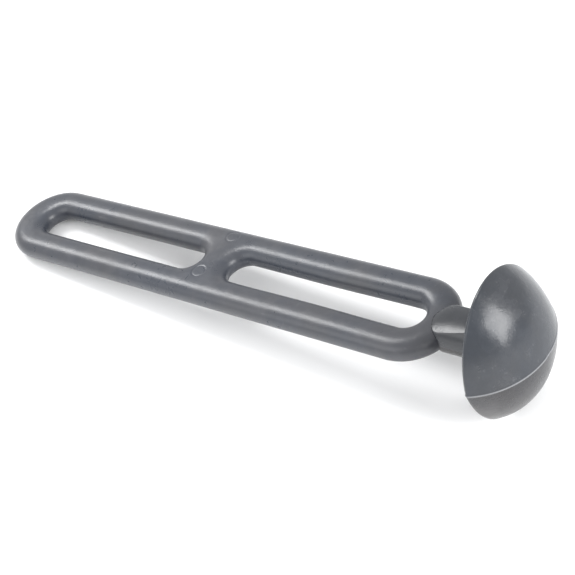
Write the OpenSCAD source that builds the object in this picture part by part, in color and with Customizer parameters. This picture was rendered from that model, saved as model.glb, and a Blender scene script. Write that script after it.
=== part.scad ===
// Training bumper: a slotted carrying handle with an oval dome head.
// The origin is the centre of the whole bumper. +X runs from the tail loop to the
// top of the dome, and the plane z = 0 is the parting plane of the two head halves.

/* [Handle] */
// Length of the handle, from the tail to the end that the neck covers
frame_l = 262; // [200:1:340]
// Width of the handle across both bars
frame_w = 45; // [42:0.5:60]
// Thickness of the handle
frame_t = 11; // [8:0.5:12]
// Width of each long bar
bar_w = 15; // [13:0.5:17]
// Width of the web between the two slots
web_w = 17.5; // [14:0.5:30]
// Distance from the tail end to the middle of the web
web_x = 132.5; // [90:0.5:160]
// Depth of the loop's solid end at the tail
tail_end = 18.5; // [14:0.5:26]
// Depth of the loop's solid end at the head
head_end = 15; // [13:0.5:22]

/* [Head] */
// Width of the dome across the parting plane
head_w = 60; // [50:0.5:74]
// Height of the dome, square to the parting plane
head_h = 69.5; // [56:0.5:88]
// Height of the dome's crown above its rim
crown = 20; // [16:0.5:24]
// How far each half's centre lies beyond the parting plane, which makes the keel at the seam
keel = 6; // [0:0.5:10]
// Radius on the back edge of the rim
rim_r = 1.5; // [1:0.25:3]
// Thickness of the dome's shell
shell_t = 4; // [3:0.25:5]
// Distance from the handle's end to the rim
rim_gap = 22; // [16:0.5:30]

/* [Neck] */
// Diameter of the neck
neck_d = 20; // [18:0.5:24]
// Length of the rounded shoulder where the neck runs onto the loop
shoulder = 5; // [3:0.5:8]
// Diameter of the handle's spigot
spigot_d = 10; // [8:0.5:11]
// Diameter of the flange on the spigot's end
flange_d = 15; // [13:0.5:16]
// Thickness of the flange
flange_t = 3.5; // [2.5:0.25:4.5]
// Diameter of the hub inside the dome that grips the flange
hub_d = 25; // [23:0.5:28]
// Wall of the hub behind the flange and in front of it
hub_wall = 2.5; // [2:0.25:3.5]

/* [Pins] */
// Diameter of the cross pin that locks the spigot in the neck
cross_pin_d = 4; // [3:0.25:4.5]
// Length of the cross pin
cross_pin_l = 16; // [13:0.5:17]
// Diameter of the pins that line up the two head halves
locating_pin_d = 3; // [2:0.25:3.25]
// Length of the locating pins
locating_pin_l = 11; // [8:0.5:12]

/* [Fits] */
// Gap between the head halves and the handle
handle_gap = 0.1; // [0.05:0.05:0.3]
// Radial gap of a pin in its hole
pin_gap = 0.05; // [0.05:0.05:0.2]
// Gap at each end of a pin
pin_end_gap = 0.3; // [0.1:0.1:0.6]
// Gap between the float core and the shell
core_gap = 0.3; // [0.2:0.1:1]

/* [Hidden] */
$fn = 96;

overall_l = frame_l + rim_gap + crown;
tail_x = -overall_l / 2;             // tail end of the handle
end_x = tail_x + frame_l;            // head end of the handle
rim_x = end_x + rim_gap;             // plane of the dome's widest section
edge_r = frame_t / 2;                // full round on the bars' edges
slot_r = frame_w / 2 - bar_w;        // half the clear width of a slot
slot1 = [tail_x + tail_end, tail_x + web_x - web_w / 2];
slot2 = [tail_x + web_x + web_w / 2, end_x - head_end];

dome_r = ((head_w / 2) ^ 2 + crown ^ 2) / (2 * crown);  // arc of the crown in the parting plane
dome_x = rim_x + crown - dome_r;                        // centre of that arc
rim_share = ((rim_x - dome_x) / dome_r) ^ 2;
ball_h = sqrt(((head_h / 2 + keel) ^ 2 - rim_share * keel ^ 2) / (1 - rim_share));  // half height of a half's ball
ball_r = dome_r / sqrt(1 - (keel / ball_h) ^ 2);                                  // half width of that ball
rim_scale = sqrt(1 - ((rim_x - dome_x) / ball_r) ^ 2);                            // the ball's size at the rim
back_x = rim_x - rim_r;                                 // flat back of the dome
cavity_x = back_x + shell_t;                            // inner face of the back wall
neck_x = end_x - head_end;                              // where the neck begins on the loop

flange_x = cavity_x + hub_wall;
hub_x = flange_x + flange_t + hub_wall;                 // front of the hub
cross_pin_x = (end_x + back_x) / 2;
locating_pin_x = cavity_x - shell_t / 2 + locating_pin_d / 4;
locating_pin_y = (spigot_d + hub_d) / 4 + 1;

// A cylinder along X from x = a to x = b
module rod(d, a, b) {
    translate([a, 0, 0]) rotate([0, 90, 0]) cylinder(d = d, h = b - a);
}

// A flat plate with round ends, from x = a to x = b
module stadium(a, b, r, t) {
    for (x = [a + r, b - r]) translate([x, 0, -t / 2]) cylinder(r = r, h = t);
    translate([a + r, -r, -t / 2]) cube([b - a - 2 * r, 2 * r, t]);
}

// A round bead that runs along a stadium's outline
module bead(a, b, r, bead_r) {
    for (side = [0, 1])
        translate([side == 0 ? a + r : b - r, 0, 0])
            rotate([0, 0, side == 0 ? 90 : -90])
                rotate_extrude(angle = 180) translate([r, 0]) circle(r = bead_r);
    for (y = [-r, r])
        translate([a + r, y, 0]) rotate([0, 90, 0]) cylinder(r = bead_r, h = b - a - 2 * r);
}

// The loop of the handle, grown all round for the pocket that the head halves need
module loop(grow = 0) {
    r = edge_r + grow;
    difference() {
        stadium(tail_x + edge_r, end_x - edge_r, frame_w / 2 - edge_r, 2 * r);
        for (s = [slot1, slot2])
            stadium(s[0] - edge_r, s[1] + edge_r, slot_r + edge_r, 2 * r + 2);
    }
    bead(tail_x + edge_r, end_x - edge_r, frame_w / 2 - edge_r, r);
    for (s = [slot1, slot2])
        bead(s[0] - edge_r, s[1] + edge_r, slot_r + edge_r, r);
}

// Spigot with the flange that the hub grips, grown for its socket
module spigot(grow = 0) {
    rod(spigot_d + 2 * grow, end_x - head_end / 2, flange_x + flange_t / 2);
    rod(flange_d + 2 * grow, flange_x - grow, flange_x + flange_t + grow);
}

module cross_pin_body(gap = 0, end_gap = 0) {
    l = cross_pin_l + 2 * end_gap;
    translate([cross_pin_x, 0, -l / 2]) cylinder(d = cross_pin_d + 2 * gap, h = l);
}

module locating_pin_bodies(gap = 0, end_gap = 0) {
    l = locating_pin_l + 2 * end_gap;
    for (y = [-locating_pin_y, locating_pin_y])
        translate([locating_pin_x, y, -l / 2]) cylinder(d = locating_pin_d + 2 * gap, h = l);
}

// Ball that shapes the upper half of the dome, shrunk by a wall. Its centre is below the parting plane.
module dome_ball(shrink = 0) {
    translate([dome_x, 0, -keel])
        scale([1, 1, (ball_h - shrink) / (ball_r - shrink)])
            rotate([0, 90, 0]) sphere(r = ball_r - shrink);
}

// Everything above the parting plane and in front of the plane x = a
module corner(a) {
    translate([a, -head_h, 0]) cube([2 * head_h, 2 * head_h, head_h]);
}

// The ball's section at the rim as the seat of a shape drawn around the X axis
module at_rim() {
    translate([0, 0, -keel]) scale([1, 1, ball_h / ball_r]) children();
}

// The oval foot of the dome, with a flat back and a rounded back edge
module rim() {
    r = ball_r * rim_scale - rim_r;
    intersection() {
        at_rim() rod(2 * r, back_x - 1, rim_x + rim_r);
        corner(back_x);
    }
    intersection() {
        at_rim() translate([rim_x, 0, 0]) rotate([0, 90, 0])
            rotate_extrude() translate([r, 0]) circle(r = rim_r);
        corner(back_x - 1);
    }
}

// Outside of the dome's upper half
module dome_outside() {
    intersection() {
        dome_ball();
        corner(rim_x);
    }
    rim();
}

// The hollow in the dome's upper half, less the hub
module dome_hollow(shrink = 0) {
    difference() {
        intersection() {
            dome_ball(shell_t + shrink);
            corner(cavity_x + shrink);
        }
        rod(hub_d + 2 * shrink, back_x, hub_x + shrink);
    }
}

// The neck, with a round shoulder where it runs onto the loop
module neck() {
    translate([neck_x, 0, 0]) rotate([0, 90, 0]) {
        translate([0, 0, shoulder]) cylinder(d = neck_d, h = rim_x - neck_x - shoulder);
        rotate_extrude() intersection() {
            translate([neck_d / 2 - shoulder, shoulder]) circle(r = shoulder);
            square([neck_d / 2, shoulder]);
        }
        cylinder(d = neck_d - 2 * shoulder, h = shoulder);
    }
}

// The upper half of the head: the lower half is its mirror image
module head_half() {
    difference() {
        union() {
            dome_outside();
            intersection() {
                neck();
                corner(neck_x - 1);
            }
        }
        dome_hollow();
        loop(handle_gap);
        spigot(handle_gap);
        cross_pin_body(pin_gap, pin_end_gap);
        locating_pin_bodies(pin_gap, pin_end_gap);
    }
}

module handle_frame() {
    color("#6a6d73") difference() {
        union() {
            loop();
            spigot();
        }
        cross_pin_body(pin_gap, pin_end_gap);
    }
}

module head_upper() {
    color("#62666b") head_half();
}

module head_lower() {
    color("#74757a") mirror([0, 0, 1]) head_half();
}

module float_core() {
    color("#d9d4c4") {
        dome_hollow(core_gap);
        mirror([0, 0, 1]) dome_hollow(core_gap);
    }
}

module cross_pin() {
    color("#b9bcc0") cross_pin_body();
}

module locating_pins() {
    color("#9a9da1") locating_pin_bodies();
}

handle_frame();
head_upper();
head_lower();
float_core();
cross_pin();
locating_pins();
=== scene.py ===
import math
import bmesh
import bpy
import numpy as np
from mathutils import Matrix, Vector


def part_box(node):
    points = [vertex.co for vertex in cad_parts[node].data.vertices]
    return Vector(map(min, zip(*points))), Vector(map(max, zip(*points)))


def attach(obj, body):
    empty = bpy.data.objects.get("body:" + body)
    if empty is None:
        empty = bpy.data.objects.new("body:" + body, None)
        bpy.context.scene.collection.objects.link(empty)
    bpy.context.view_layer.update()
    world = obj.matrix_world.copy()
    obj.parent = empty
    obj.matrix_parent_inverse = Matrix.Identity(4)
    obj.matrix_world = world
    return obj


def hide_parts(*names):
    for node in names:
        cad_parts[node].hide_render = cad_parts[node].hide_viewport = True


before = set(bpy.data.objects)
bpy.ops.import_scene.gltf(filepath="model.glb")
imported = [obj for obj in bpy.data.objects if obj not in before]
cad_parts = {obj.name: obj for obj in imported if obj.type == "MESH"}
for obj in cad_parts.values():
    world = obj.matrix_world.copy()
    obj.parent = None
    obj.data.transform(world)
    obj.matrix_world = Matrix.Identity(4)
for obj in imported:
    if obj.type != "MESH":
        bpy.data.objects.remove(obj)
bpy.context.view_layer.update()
print("frame loaded:", sorted(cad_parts))

mm = 0.001
weldGap = 2e-6


def pointsOf(node):
    # a CAD node's points, one row of x, y and z for each
    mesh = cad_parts[node].data
    co = np.zeros(len(mesh.vertices) * 3)
    mesh.vertices.foreach_get("co", co)
    return co.reshape(-1, 3)


def meshObject(name, bm, angle=32.0):
    # weld, fix normals and shade smooth up to the given angle
    bmesh.ops.remove_doubles(bm, verts=bm.verts, dist=weldGap)
    bmesh.ops.recalc_face_normals(bm, faces=bm.faces)
    mesh = bpy.data.meshes.new(name)
    bm.to_mesh(mesh)
    bm.free()
    piece = bpy.data.objects.new(name, mesh)
    bpy.context.scene.collection.objects.link(piece)
    shadeSmooth(piece, angle)
    return piece


def shadeSmooth(piece, angle):
    mesh = piece.data
    mesh.polygons.foreach_set("use_smooth", [True] * len(mesh.polygons))
    mesh.set_sharp_from_angle(angle=math.radians(angle))


def tidyCopy(node):
    # welded copy of a CAD node, to cut with
    bm = bmesh.new()
    bm.from_mesh(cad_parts[node].data)
    return meshObject("cutter_" + node, bm)


def combine(piece, other, operation, keepOther=False):
    step = piece.modifiers.new("combine", "BOOLEAN")
    step.operation = operation
    step.solver = "EXACT"
    step.object = other
    graph = bpy.context.evaluated_depsgraph_get()
    result = bpy.data.meshes.new_from_object(piece.evaluated_get(graph))
    piece.modifiers.clear()
    piece.data = result
    if not keepOther:
        bpy.data.objects.remove(other)


def ringFaces(bm, a, b, close=False):
    # quads between two rows of the same number of vertices
    count = len(a)
    for i in range(count if close else count - 1):
        j = (i + 1) % count
        corners = [a[i], a[j], b[j], b[i]]
        unique = [v for k, v in enumerate(corners) if v not in corners[:k]]
        if len(unique) > 2:
            bm.faces.new(unique)


# sizes that the frame gives
loopPoints = pointsOf("handle_frame")
tailX = loopPoints[:, 0].min()
loopHalfWidth = loopPoints[:, 1].max()
loopHalfThick = loopPoints[loopPoints[:, 0] < 0][:, 2].max()
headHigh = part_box("head_upper")[1]

handle = {
    "barWidth": 15 * mm,
    "length": 262 * mm,
    "tailEnd": 18.5 * mm,
    "headEnd": 15 * mm,
    "webCentre": 132.5 * mm,
    "webWidth": 17.5 * mm,
    "roundness": 2.25,       # 2 is an ellipse, more is boxier
    "arcSteps": 44,
    "edgeSteps": 26,
    "barStep": 1.5 * mm,
    "slotBow": 0.4 * mm,     # how far the bars bow into the slot next to the head
    "smoothAngle": 40,
    "markRadius": 3.3 * mm,  # ejector marks
    "markDepth": 0.12 * mm,
    "markPlaces": [(-1.9 * mm, -8.8 * mm), (0.6 * mm, 15.6 * mm)],  # from the web's middle
    "markCuts": 5,           # extra cuts of the mesh round a mark
    "markReach": 2.2,        # how far out those cuts go, in mark radii
    "markRimWidth": 0.15,
    "markFloor": 0.35,       # depth of a mark's floor, as a share of its rim's
    "markSoftness": 16,
    "spigotRadius": 5 * mm,
    "flangeRadius": 7.5 * mm,
    "flangeLength": 3.5 * mm,
}


def stadiumRow(low, high, radius, xs, offset, z, bow=0.0):
    # one closed row of points round a stadium that ends at low and high, pushed out by offset
    r = radius + offset
    right, left = high - radius, low + radius
    steps = handle["arcSteps"]
    row = []
    for k in range(steps + 1):
        a = -math.pi / 2 + math.pi * k / steps
        row.append((right + r * math.cos(a), r * math.sin(a), z))
    for x in reversed(xs[1:-1]):
        row.append((x, r - bow * bowShape(x, left, right), z))
    for k in range(steps + 1):
        a = math.pi / 2 + math.pi * k / steps
        row.append((left + r * math.cos(a), r * math.sin(a), z))
    for x in xs[1:-1]:
        row.append((x, -r + bow * bowShape(x, left, right), z))
    return row


def bowShape(x, left, right):
    # 0 at both ends, 1 in the middle
    return math.sin(math.pi * (x - left) / (right - left)) ** 2


def spread(a, b, step):
    # even places from a to b, about a step apart
    count = max(1, round((b - a) / step))
    return [a + (b - a) * k / count for k in range(count + 1)]


def buildHandle():
    s = handle
    half, thick, bar = loopHalfWidth, loopHalfThick, s["barWidth"]
    edge = bar / 2
    endX = tailX + s["length"]
    webX, halfWeb = tailX + s["webCentre"], s["webWidth"] / 2
    web = [webX - halfWeb, webX + halfWeb]
    spans = [(tailX + s["tailEnd"], web[0]), (web[1], endX - s["headEnd"])]
    slotRadius = half - bar
    # shared stations along the bars
    stops = [tailX + half, spans[0][0] + slotRadius, spans[0][1] - slotRadius,
             spans[1][0] + slotRadius, spans[1][1] - slotRadius]
    slotXs = [spread(stops[1], stops[2], s["barStep"]), spread(stops[3], stops[4], s["barStep"])]
    webXs = spread(stops[2], stops[3], s["barStep"])
    outerXs = [stops[0]] + slotXs[0] + webXs[1:-1] + slotXs[1]
    bm = bmesh.new()
    power = 2 / s["roundness"]

    def bead(low, high, radius, xs, outward, bow):
        # the rounded edge along one outline, from the lower flat to the upper one
        rows = []
        for k in range(s["edgeSteps"] + 1):
            a = -math.pi / 2 + math.pi * k / s["edgeSteps"]
            depth = edge * (1 - abs(math.cos(a)) ** power)
            z = thick * math.copysign(abs(math.sin(a)) ** power, a) if a else 0.0
            give = bow * (1 - depth / edge)
            points = stadiumRow(low, high, radius, xs, outward * depth, z, give)
            rows.append([bm.verts.new(p) for p in points])
        for a, b in zip(rows, rows[1:]):
            ringFaces(bm, a, b, close=True)
        return rows

    outer = bead(tailX, endX, half, outerXs, -1, 0.0)
    inner = [bead(spans[0][0], spans[0][1], slotRadius, slotXs[0], 1, 0.0),
             bead(spans[1][0], spans[1][1], slotRadius, slotXs[1], 1, s["slotBow"])]
    steps = s["arcSteps"]
    for level in (0, -1):  # underside, then top
        out, first, second = outer[level], inner[0][level], inner[1][level]
        # the crescent at the tail
        outLeft = steps + 1 + len(outerXs) - 2
        firstLeft = steps + 1 + len(slotXs[0]) - 2
        ringFaces(bm, out[outLeft:outLeft + steps + 1], first[firstLeft:firstLeft + steps + 1])
        # the web, laid out between the two slots' round ends
        secondLeft = steps + 1 + len(slotXs[1]) - 2
        left = first[:steps + 1]
        right = list(reversed(second[secondLeft:secondLeft + steps + 1]))
        columns = len(webXs) - 1
        previous = left
        for c in range(1, columns + 1):
            t = c / columns
            if c < columns:
                row = [bm.verts.new(a.co.lerp(b.co, t)) for a, b in zip(left, right)]
            else:
                row = right
            ringFaces(bm, previous, row)
            previous = row
    piece = meshObject("slottedHandle", bm, s["smoothAngle"])
    cutEjectorMarks(piece)
    addSpigot(piece)
    return piece


def cutEjectorMarks(piece):
    # two shallow round marks that the mould's pins left on the web
    s = handle
    webX = tailX + s["webCentre"]
    marks = [Vector((webX + x, y)) for x, y in s["markPlaces"]]
    topZ = loopHalfThick * 0.7  # everything above this belongs to the top face
    bm = bmesh.new()
    bm.from_mesh(piece.data)
    for mark in marks:
        near = [f for f in bm.faces if f.calc_center_median().z > topZ
                and (f.calc_center_median().xy - mark).length < s["markReach"] * s["markRadius"]]
        edges = {e for f in near for e in f.edges}
        bmesh.ops.subdivide_edges(bm, edges=list(edges), cuts=s["markCuts"], use_grid_fill=True)
    bm.normal_update()
    for v in bm.verts:
        if v.co.z < topZ:
            continue
        for mark in marks:
            r = (v.co.xy - mark).length / s["markRadius"]
            if r < 2:  # further out the dent is nothing
                rim = math.exp(-((r - 1) / s["markRimWidth"]) ** 2)
                sunk = s["markFloor"] / (1 + math.exp((r - 1) * s["markSoftness"]))
                v.co.z -= s["markDepth"] * (rim + sunk)
    bm.to_mesh(piece.data)
    bm.free()
    shadeSmooth(piece, s["smoothAngle"])


def cylinderPiece(name, radius, x0, x1, segments=64):
    bm = bmesh.new()
    turn = Matrix.Translation(((x0 + x1) / 2, 0, 0)) @ Matrix.Rotation(math.pi / 2, 4, "Y")
    bmesh.ops.create_cone(bm, cap_ends=True, segments=segments, radius1=radius, radius2=radius,
                          depth=x1 - x0, matrix=turn)
    return meshObject(name, bm)


def addSpigot(piece):
    # the stem and flange that the head halves grip, with the cross pin's hole
    s = handle
    tipX = loopPoints[:, 0].max()
    startX = tailX + s["length"] - s["headEnd"] / 2
    combine(piece, cylinderPiece("stem", s["spigotRadius"], startX, tipX), "UNION")
    flangeX = tipX - s["flangeLength"]
    combine(piece, cylinderPiece("flange", s["flangeRadius"], flangeX, tipX), "UNION")
    combine(piece, tidyCopy("cross_pin"), "DIFFERENCE")
    shadeSmooth(piece, s["smoothAngle"])


slottedHandle = buildHandle()
print("handle made:", len(slottedHandle.data.polygons), "faces")

head = {
    "crown": 20 * mm,
    "keel": 6 * mm,           # how far each half's centre lies beyond the parting plane
    "rimRadius": 1.5 * mm,
    "neckRadius": 10 * mm,
    "neckRoot": 5.3 * mm,     # radius where the neck grows out of the loop
    "neckFillet": 2.2 * mm,
    "rootStart": 100 * mm,
    "rootEnd": 107.5 * mm,
    "neckStep": 0.8 * mm,
    "roof": [(99 * mm, 4.5 * mm), (100 * mm, 5.1 * mm), (104 * mm, 6.4 * mm),
             (107.5 * mm, 7.1 * mm), (120 * mm, 8.6 * mm), (127 * mm, 10.2 * mm)],
    "roofBow": 0.020,         # the neck's flattened top falls by this times y squared, in mm
    "beadHeight": 0.18 * mm,  # the moulding line along the parting plane
    "beadWidth": 0.42 * mm,
    "beadClear": 1.5 * mm,    # the line stops this far from the axis
    "seamShares": [0, 0.004, 0.008, 0.012, 0.017, 0.023, 0.031, 0.042],
    "aroundSteps": 72,
    "crownSteps": 46,
    "crownEase": 1.15,        # above 1 draws the rows together at the crown
    "turnSteps": 8,           # rows round the rim's edge and round the neck's fillet
    "backShares": (0.04, 0.12, 0.3, 0.5, 0.7, 0.88),
    "smoothAngle": 35,
}


def headShape():
    # the ball that each half is cut from, smaller by the moulding line
    s = head
    crownX, halfWidth = headHigh.x - s["beadHeight"], headHigh.y - s["beadHeight"]
    halfHeight, keel, rimX = headHigh.z, s["keel"], headHigh.x - s["crown"]
    crown = crownX - rimX
    arc = (halfWidth ** 2 + crown ** 2) / (2 * crown)
    centreX = crownX - arc
    share = ((rimX - centreX) / arc) ** 2
    ballHigh = math.sqrt(((halfHeight + keel) ** 2 - share * keel ** 2) / (1 - share))
    ballWide = arc / math.sqrt(1 - (keel / ballHigh) ** 2)
    return {"rimX": rimX, "crownX": crownX, "centreX": centreX, "high": ballHigh, "wide": ballWide}


def aroundAngles():
    # shares of the half turn, close together at the parting plane, so that the moulding line is round
    steps, fine = head["aroundSteps"], head["seamShares"]
    middle = [fine[-1] + (1 - 2 * fine[-1]) * k / steps for k in range(1, steps)]
    return fine + middle + [1 - f for f in reversed(fine)]


def follow(x, stops):
    # value at x on the straight lines between (place, value) stops
    for (x0, v0), (x1, v1) in zip(stops, stops[1:]):
        if x <= x1:
            t = max(0.0, (x - x0) / (x1 - x0))
            return v0 + (v1 - v0) * t
    return stops[-1][1]


def neckOutline(x):
    # half section of the neck: a circle whose top is flattened next to the loop
    s = head
    grow = follow(x, [(s["rootStart"], 0.0), (s["rootEnd"], 1.0)])
    radius = s["neckRoot"] + (s["neckRadius"] - s["neckRoot"]) * math.sin(grow * math.pi / 2)
    radius -= max(0.0, s["rootStart"] - x)
    roof = follow(x, s["roof"])

    def outline(t):
        y, z = radius * math.cos(math.pi * t), radius * math.sin(math.pi * t)
        return y, min(z, roof - s["roofBow"] * (y / mm) ** 2 * mm)
    return outline


def buildHalf(name, side):
    s, shape = head, headShape()
    keel = s["keel"]
    angles = aroundAngles()
    bm = bmesh.new()
    rows = []

    def addRow(x, outline, lean=(0.0, 1.0)):
        # the moulding line is pushed out along the profile's own slope
        points = []
        for t in angles:
            y, z = outline(t)
            lift = 0.0
            if abs(y) > s["beadClear"]:
                lift = s["beadHeight"] * math.exp(-(z / s["beadWidth"]) ** 2)
            points.append((x + lift * lean[0], y + math.copysign(lift * lean[1], y), side * z))
        rows.append([bm.verts.new(p) for p in points])

    def oval(scale, shrink=0.0):
        # section of the ball at a share of its size, less an even margin
        def outline(t):
            wide, high = shape["wide"] * scale - shrink, shape["high"] * scale - shrink
            low = math.asin(min(1.0, keel / high))
            a = low + (math.pi - 2 * low) * t
            return wide * math.cos(a), max(0.0, high * math.sin(a) - keel)
        return outline

    def ring(radius):
        return lambda t: (radius * math.cos(math.pi * t), radius * math.sin(math.pi * t))

    def between(a, b, w):
        def outline(t):
            (y0, z0), (y1, z1) = a(t), b(t)
            return y0 + (y1 - y0) * w, z0 + (z1 - z0) * w
        return outline

    # crown, from just under its top to the rim
    topScale = keel / shape["high"]
    rimScale = math.sqrt(1 - ((shape["rimX"] - shape["centreX"]) / shape["wide"]) ** 2)
    apexAngle = math.acos(min(1.0, math.sqrt(1 - topScale ** 2)))
    rimAngle = math.acos((shape["rimX"] - shape["centreX"]) / shape["wide"])
    for k in range(1, s["crownSteps"] + 1):
        a = apexAngle + (rimAngle - apexAngle) * (k / s["crownSteps"]) ** s["crownEase"]
        lean = (math.cos(a), math.sin(a))
        addRow(shape["centreX"] + shape["wide"] * math.cos(a), oval(math.sin(a)), lean)
    # round back edge of the rim
    turn = s["turnSteps"]
    for k in range(1, turn + 1):
        a = math.pi / 2 * k / turn
        lean = (-math.sin(a), math.cos(a))
        margin = s["rimRadius"] * (1 - math.cos(a))
        addRow(shape["rimX"] - s["rimRadius"] * math.sin(a), oval(rimScale, margin), lean)
    # flat back, then the fillet onto the neck
    backX = shape["rimX"] - s["rimRadius"]
    edgeOutline = oval(rimScale, s["rimRadius"])
    root = ring(s["neckRadius"] + s["neckFillet"])
    for w in s["backShares"]:
        addRow(backX, between(edgeOutline, root, w), (-1.0, 0.0))
    for k in range(turn + 1):
        a = math.pi / 2 * k / turn
        addRow(backX - s["neckFillet"] * (1 - math.cos(a)),
               ring(s["neckRadius"] + s["neckFillet"] * (1 - math.sin(a))), (-math.cos(a), math.sin(a)))
    # neck, down to where it disappears in the loop
    neckStart = s["rootStart"] - 1 * mm
    for x in reversed(spread(neckStart, backX - s["neckFillet"], s["neckStep"])[:-1]):
        addRow(x, neckOutline(x), (0.0, 0.0))
    for a, b in zip(rows, rows[1:]):
        ringFaces(bm, a, b)
    # close the top of the crown, the neck's end and the parting face
    top = bm.verts.new((shape["crownX"], 0, 0))
    for i in range(len(angles) - 1):
        bm.faces.new((top, rows[0][i + 1], rows[0][i]))
    border = [row[0] for row in rows] + [row[-1] for row in reversed(rows)] + [top]
    bm.faces.new(rows[-1])
    flat = bm.faces.new(border)
    bmesh.ops.triangulate(bm, faces=[flat])
    piece = meshObject(name, bm, s["smoothAngle"])
    for cutter in ("float_core", "cross_pin", "locating_pins"):
        combine(piece, tidyCopy(cutter), "DIFFERENCE")
    combine(piece, slottedHandle, "DIFFERENCE", keepOther=True)
    shadeSmooth(piece, s["smoothAngle"])
    return piece


headUpper = buildHalf("domeUpperHalf", 1)
headLower = buildHalf("domeLowerHalf", -1)
print("head halves made:", len(headUpper.data.polygons), len(headLower.data.polygons), "faces")


class Wire:
    # a shader socket that adds its own maths nodes
    def __init__(self, tree, socket):
        self.tree = tree
        self.socket = socket

    def make(self, kind, settings=None, inputs=None, out=0):
        # any node: its settings are set first, then its inputs are set or linked
        made = self.tree.nodes.new(kind)
        for name, value in (settings or {}).items():
            setattr(made, name, value)
        for name, value in (inputs or {}).items():
            if isinstance(value, Wire):
                self.tree.links.new(value.socket, made.inputs[name])
            else:
                made.inputs[name].default_value = value
        return Wire(self.tree, made.outputs[out])

    def maths(self, operation, a, b=0.0):
        return self.make("ShaderNodeMath", {"operation": operation}, {0: a, 1: b})

    def __add__(self, other):
        return self.maths("ADD", self, other)

    def __radd__(self, other):
        return self.maths("ADD", other, self)

    def __sub__(self, other):
        return self.maths("SUBTRACT", self, other)

    def __rsub__(self, other):
        return self.maths("SUBTRACT", other, self)

    def __mul__(self, other):
        return self.maths("MULTIPLY", self, other)

    def __rmul__(self, other):
        return self.maths("MULTIPLY", other, self)

    def __abs__(self):
        return self.maths("ABSOLUTE", self)

    def between(self, low, high):
        # 0 below low, 1 above high, smooth in between
        return self.make("ShaderNodeMapRange", {"interpolation_type": "SMOOTHSTEP"},
                         {0: self, 1: low, 2: high, 3: 0.0, 4: 1.0})

    def blendTo(self, other, factor, mode="MIX"):
        # colours go through a Mix node
        return self.make("ShaderNodeMix", {"data_type": "RGBA", "blend_type": mode},
                         {0: factor, 6: self, 7: other}, out=2)

    def tint(self, other, factor=1.0):
        return self.blendTo(other, factor, "MULTIPLY")


def newMaterial(name):
    # an empty material with its shader, a wire to make nodes with, and the object's coordinates
    material = bpy.data.materials.new(name)
    material.use_nodes = True
    tree = material.node_tree
    tree.nodes.clear()
    shader = tree.nodes.new("ShaderNodeBsdfPrincipled")
    output = tree.nodes.new("ShaderNodeOutputMaterial")
    tree.links.new(shader.outputs[0], output.inputs[0])
    start = Wire(tree, shader.outputs[0])
    place = start.make("ShaderNodeTexCoord", out=3)
    return material, shader, start, place


def feed(shader, name, wire):
    wire.tree.links.new(wire.socket, shader.inputs[name])


slate = {
    "cool": (0.0490, 0.0550, 0.0690, 1),
    "warm": (0.0600, 0.0620, 0.0705, 1),
    "flowTint": (0.86, 0.87, 0.88, 1),
    "mottleTint": (1.16, 1.15, 1.14, 1),
    "pale": (0.300, 0.305, 0.320, 1),
    "dark": (0.024, 0.026, 0.030, 1),
    "flowShare": 0.6,           # how strongly each pattern shows in the colour
    "mottleShare": 0.6,
    "scratchShare": 0.10,
    "nickShare": 0.04,
    "rubbedShare": 0.03,
    "bandShare": 0.35,
    "lineShare": 0.55,
    "roughness": 0.30,
    "cloudRough": 0.10,         # how much each pattern changes the roughness
    "mottleRough": 0.16,
    "rubbedRough": 0.06,
    "lineRough": 0.10,
    "cloudHeight": 0.3 * mm,    # heights that the bump is made from
    "mottleHeight": 0.16 * mm,
    "fineHeight": 0.04 * mm,
    "grainHeight": 0.03 * mm,
    "bumpStrength": 0.55,
    "seamInner": 0.22 * mm,     # half widths of the pale line on the seam
    "seamOuter": 0.50 * mm,
    "bandInner": 0.4 * mm,     # the darker band beside it fades in, and out again
    "bandMiddle": 0.7 * mm,
    "bandOuter": 1.4 * mm,
    "domeStart": 129 * mm,      # the line is on the dome only
    "domeSure": 131 * mm,
    "ior": 1.48,
}

patterns = {  # scale, detail, roughness, distortion, stretch, and where the mask starts and is full
    "clouds": (30, 4, 0.55, 0.4, None, 0.35, 0.68),
    "flow": (11, 2, 0.5, 1.2, (0.5, 1.4, 1.4), 0.40, 0.66),
    "mottle": (230, 3, 0.6, 0.5, None, 0.45, 0.65),
    "fine": (900, 2, 0.6, 0.0, None, 0.0, 1.0),
    "grain": (2600, 2, 0.55, 0.0, None, 0.0, 1.0),
    "rubbed": (60, 5, 0.65, 0.6, None, 0.52, 0.70),
    "scratchAlong": (140, 2, 0.4, 0.2, (0.35, 5.0, 5.0), 0.655, 0.70),
    "scratchAcross": (170, 2, 0.4, 0.2, (4.0, 0.4, 4.0), 0.675, 0.715),
    "nicks": (420, 1, 0.4, 0.0, None, 0.76, 0.80),
}


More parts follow.
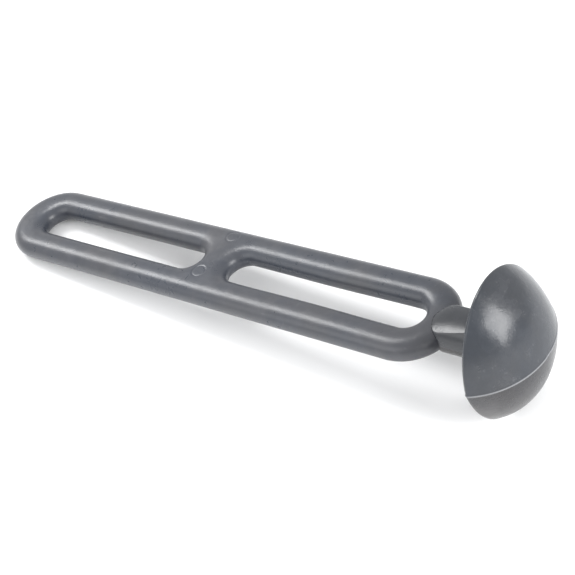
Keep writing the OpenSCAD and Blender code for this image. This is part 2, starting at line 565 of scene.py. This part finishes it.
def slateMaterial(name, toneAndPaintedShade, gloss, seam):
    # moulded slate-grey plastic: cloudy pigment, fine grain, rubbed patches, thin scratches
    s = slate
    material, shader, start, place = newMaterial(name)

    def speckle(pattern):
        scale, detail, rough, warp, stretch = patterns[pattern][:5]
        where = place
        if stretch:
            where = start.make("ShaderNodeMapping", {"vector_type": "POINT"},
                               {"Vector": place, "Scale": stretch})
        return start.make("ShaderNodeTexNoise", {"noise_dimensions": "3D"},
                          {"Vector": where, "Scale": scale, "Detail": detail,
                           "Roughness": rough, "Distortion": warp})

    def masked(wire, pattern):
        return wire.between(*patterns[pattern][5:])

    clouds, flow, mottle = speckle("clouds"), speckle("flow"), speckle("mottle")
    fine, grain = speckle("fine"), speckle("grain")
    # rubbed patches, thin scratches in them and small nicks
    rubbed = masked(speckle("rubbed"), "rubbed")
    scratchAlong = masked(speckle("scratchAlong"), "scratchAlong")
    scratchAcross = masked(speckle("scratchAcross"), "scratchAcross")
    scratches = start.maths("MAXIMUM", scratchAlong, scratchAcross) * rubbed
    nicks = masked(speckle("nicks"), "nicks")

    base = start.make("ShaderNodeRGB")
    base.socket.default_value = s["cool"]
    colour = base.blendTo(s["warm"], masked(clouds, "clouds"))
    colour = colour.tint(s["flowTint"], masked(flow, "flow") * s["flowShare"])
    # this tint colours the whole piece; on the dome halves it holds painted light and shade
    colour = colour.tint((*toneAndPaintedShade, 1))
    colour = colour.tint(s["mottleTint"], masked(mottle, "mottle") * s["mottleShare"])
    worn = scratches * s["scratchShare"] + nicks * s["nickShare"] + rubbed * s["rubbedShare"]
    colour = colour.blendTo(s["pale"], worn)
    roughness = s["roughness"] - gloss + (clouds - 0.5) * s["cloudRough"]
    roughness = roughness + (mottle - 0.5) * s["mottleRough"] + rubbed * s["rubbedRough"]
    height = (grain - 0.5) * s["grainHeight"] + (fine - 0.5) * s["fineHeight"]
    height = height + (mottle - 0.5) * s["mottleHeight"] + (clouds - 0.5) * s["cloudHeight"]
    if seam:
        fromPlane = abs(start.make("ShaderNodeSeparateXYZ", None, {"Vector": place}, out=2))
        alongAxis = start.make("ShaderNodeSeparateXYZ", None, {"Vector": place})
        onDome = alongAxis.between(s["domeStart"], s["domeSure"])
        line = (1 - fromPlane.between(s["seamInner"], s["seamOuter"])) * onDome
        # a darker band either side of the moulding line, fading in and then out
        fadeOut = fromPlane.between(s["bandMiddle"], s["bandOuter"])
        darkBand = fromPlane.between(s["bandInner"], s["bandMiddle"]) * (1 - fadeOut)
        colour = colour.blendTo(s["dark"], darkBand * s["bandShare"])
        colour = colour.blendTo(s["pale"], line * s["lineShare"])
        roughness = roughness + line * s["lineRough"]
    bump = start.make("ShaderNodeBump", None,
                      {"Strength": s["bumpStrength"], "Distance": 1.0, "Height": height})
    feed(shader, "Base Color", colour)
    feed(shader, "Roughness", roughness)
    feed(shader, "Normal", bump)
    shader.inputs["IOR"].default_value = s["ior"]
    return material


def wear(piece, material):
    piece.data.materials.clear()
    piece.data.materials.append(material)


slatePieces = (  # piece, CAD node, slot, then material name, colour tint (on the dome halves painted light and shade), extra gloss and moulding line
    (slottedHandle, "handle_frame", "slate_handle", "handleSlate", (0.90, 0.90, 0.90), 0.0, False),
    # the two dome halves are one plastic; their tints are painted light and shade, the lower half
    # tinted darker and warmer than the upper
    (headUpper, "head_upper", "slate_head", "upperSlatePaintedLight", (0.58, 0.60, 0.60), 0.07, True),
    (headLower, "head_lower", "slate_head", "lowerSlatePaintedShade", (0.50, 0.455, 0.425), 0.03, True),
)
for piece, node, slotName, *finish in slatePieces:
    wear(piece, slateMaterial(*finish))
    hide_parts(node)
    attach(piece, "root")


def innerMaterial(name, colour, roughness, metallic, scale, depth):
    # foam and pins inside the head, with fine cells or grinding marks
    material, shader, start, place = newMaterial(name)
    cells = start.make("ShaderNodeTexNoise", None, {"Vector": place, "Scale": scale, "Detail": 3.0})
    base = start.make("ShaderNodeRGB")
    base.socket.default_value = colour
    bump = start.make("ShaderNodeBump", None,
                      {"Strength": 0.5, "Distance": 1.0, "Height": cells * depth})
    feed(shader, "Base Color", base.tint((0.8, 0.8, 0.8, 1), cells.between(0.35, 0.65)))
    feed(shader, "Roughness", roughness + (cells - 0.5) * 0.15)
    feed(shader, "Normal", bump)
    shader.inputs["Metallic"].default_value = metallic
    return material


innerParts = {  # material name, colour, roughness, metallic, cells per metre, cell depth
    "float_core": ("paleFoam", (0.70, 0.66, 0.55, 1), 0.85, 0.0, 900, 0.4 * mm),
    "cross_pin": ("groundSteel", (0.55, 0.56, 0.57, 1), 0.32, 1.0, 1500, 0.03 * mm),
    "locating_pins": ("greyPins", (0.32, 0.33, 0.34, 1), 0.45, 0.0, 1200, 0.05 * mm),
}
for node, settings in innerParts.items():
    wear(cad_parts[node], innerMaterial(*settings))
print("materials made")


def restNormal():
    # normal of the surface that the dome's rim and the handle's tail rest on
    tail = loopPoints[loopPoints[:, 0] < tailX + 20 * mm]
    rim = pointsOf("head_lower")
    pitch = 0.1  # a first guess, which a few rounds settle
    for _ in range(8):
        up = np.array([math.sin(pitch), 0, math.cos(pitch)])
        a, b = tail[(tail @ up).argmin()], rim[(rim @ up).argmin()]
        pitch = math.atan2(a[2] - b[2], b[0] - a[0])
    up = np.array([math.sin(pitch), 0, math.cos(pitch)])
    return Vector(up), float((rim @ up).min())


stage = {
    "floorColour": (0.92, 0.925, 0.93, 1),
    "floorSize": 6.0,
    "floorRoughness": 0.85,
    "worldStrength": 0.93,
    "lightDistance": 1.3,
    "azimuth": 50.69,
    "elevation": 40.15,
    "roll": -23.41,
    "distance": 0.6191,
    "lens": 81.35,
    "aim": (-0.00207, 0.01985, -0.02769),
}

softboxes = {  # direction that the light comes from, direction of its width, width, height, radiance
    "stripLight": ((-0.61, 0.14, 0.77), (1, 0, 0), 0.84, 0.34, 12.5),
    "frontLight": ((0.93, -0.10, 0.38), (0, 1, 0.35), 0.72, 0.72, 10.0),
    "sideFill": ((-0.28, -0.72, 0.60), (1, 0, 0), 1.1, 0.8, 1.6),
}


def buildStage():
    # floor and even light from all round
    s = stage
    up, level = restNormal()
    bm = bmesh.new()
    bmesh.ops.create_grid(bm, x_segments=2, y_segments=2, size=s["floorSize"])
    floor = meshObject("floor", bm)
    turn = up.to_track_quat("Z", "Y").to_matrix().to_4x4()
    floor.matrix_world = Matrix.Translation(up * level) @ turn
    material, shader = newMaterial("paleFloor")[:2]
    shader.inputs["Base Color"].default_value = s["floorColour"]
    shader.inputs["Roughness"].default_value = s["floorRoughness"]
    wear(floor, material)
    world = bpy.data.worlds.new("softRoom")
    world.use_nodes = True
    background = world.node_tree.nodes["Background"]
    background.inputs["Color"].default_value = (1, 1, 1, 1)
    background.inputs["Strength"].default_value = s["worldStrength"]
    bpy.context.scene.world = world


def softbox(name, direction, along, width, height, radiance):
    # a light panel that faces the bumper, its width laid along the given direction
    data = bpy.data.lights.new(name, "AREA")
    data.shape = "RECTANGLE"
    data.size = width
    data.size_y = height
    data.energy = math.pi * width * height * radiance
    light = bpy.data.objects.new(name, data)
    bpy.context.scene.collection.objects.link(light)
    away = Vector(direction).normalized()
    across = (Vector(along) - away * away.dot(Vector(along))).normalized()
    light.location = away * stage["lightDistance"]
    light.rotation_mode = "QUATERNION"
    facing = Matrix((across, away.cross(across), away)).transposed()
    light.rotation_quaternion = facing.to_quaternion()


def buildCamera():
    s = stage
    az, el = math.radians(s["azimuth"]), math.radians(s["elevation"])
    back = Vector((math.sin(az) * math.cos(el), -math.cos(az) * math.cos(el), math.sin(el)))
    right = Vector((math.cos(az), math.sin(az), 0))
    up = back.cross(right)
    turned = Matrix((right, up, back)).transposed()
    turned = turned @ Matrix.Rotation(math.radians(s["roll"]), 3, "Z")
    eye = Vector(s["aim"]) + back * s["distance"]
    data = bpy.data.cameras.new("camera")
    data.lens = s["lens"]
    data.sensor_width = 36
    data.clip_start = 0.01
    camera = bpy.data.objects.new("camera", data)
    bpy.context.scene.collection.objects.link(camera)
    camera.matrix_world = Matrix.Translation(eye) @ turned.to_4x4()
    bpy.context.scene.camera = camera


buildStage()
for name, settings in softboxes.items():
    softbox(name, *settings)
buildCamera()
bpy.context.scene.view_settings.view_transform = "Standard"
print("stage made")
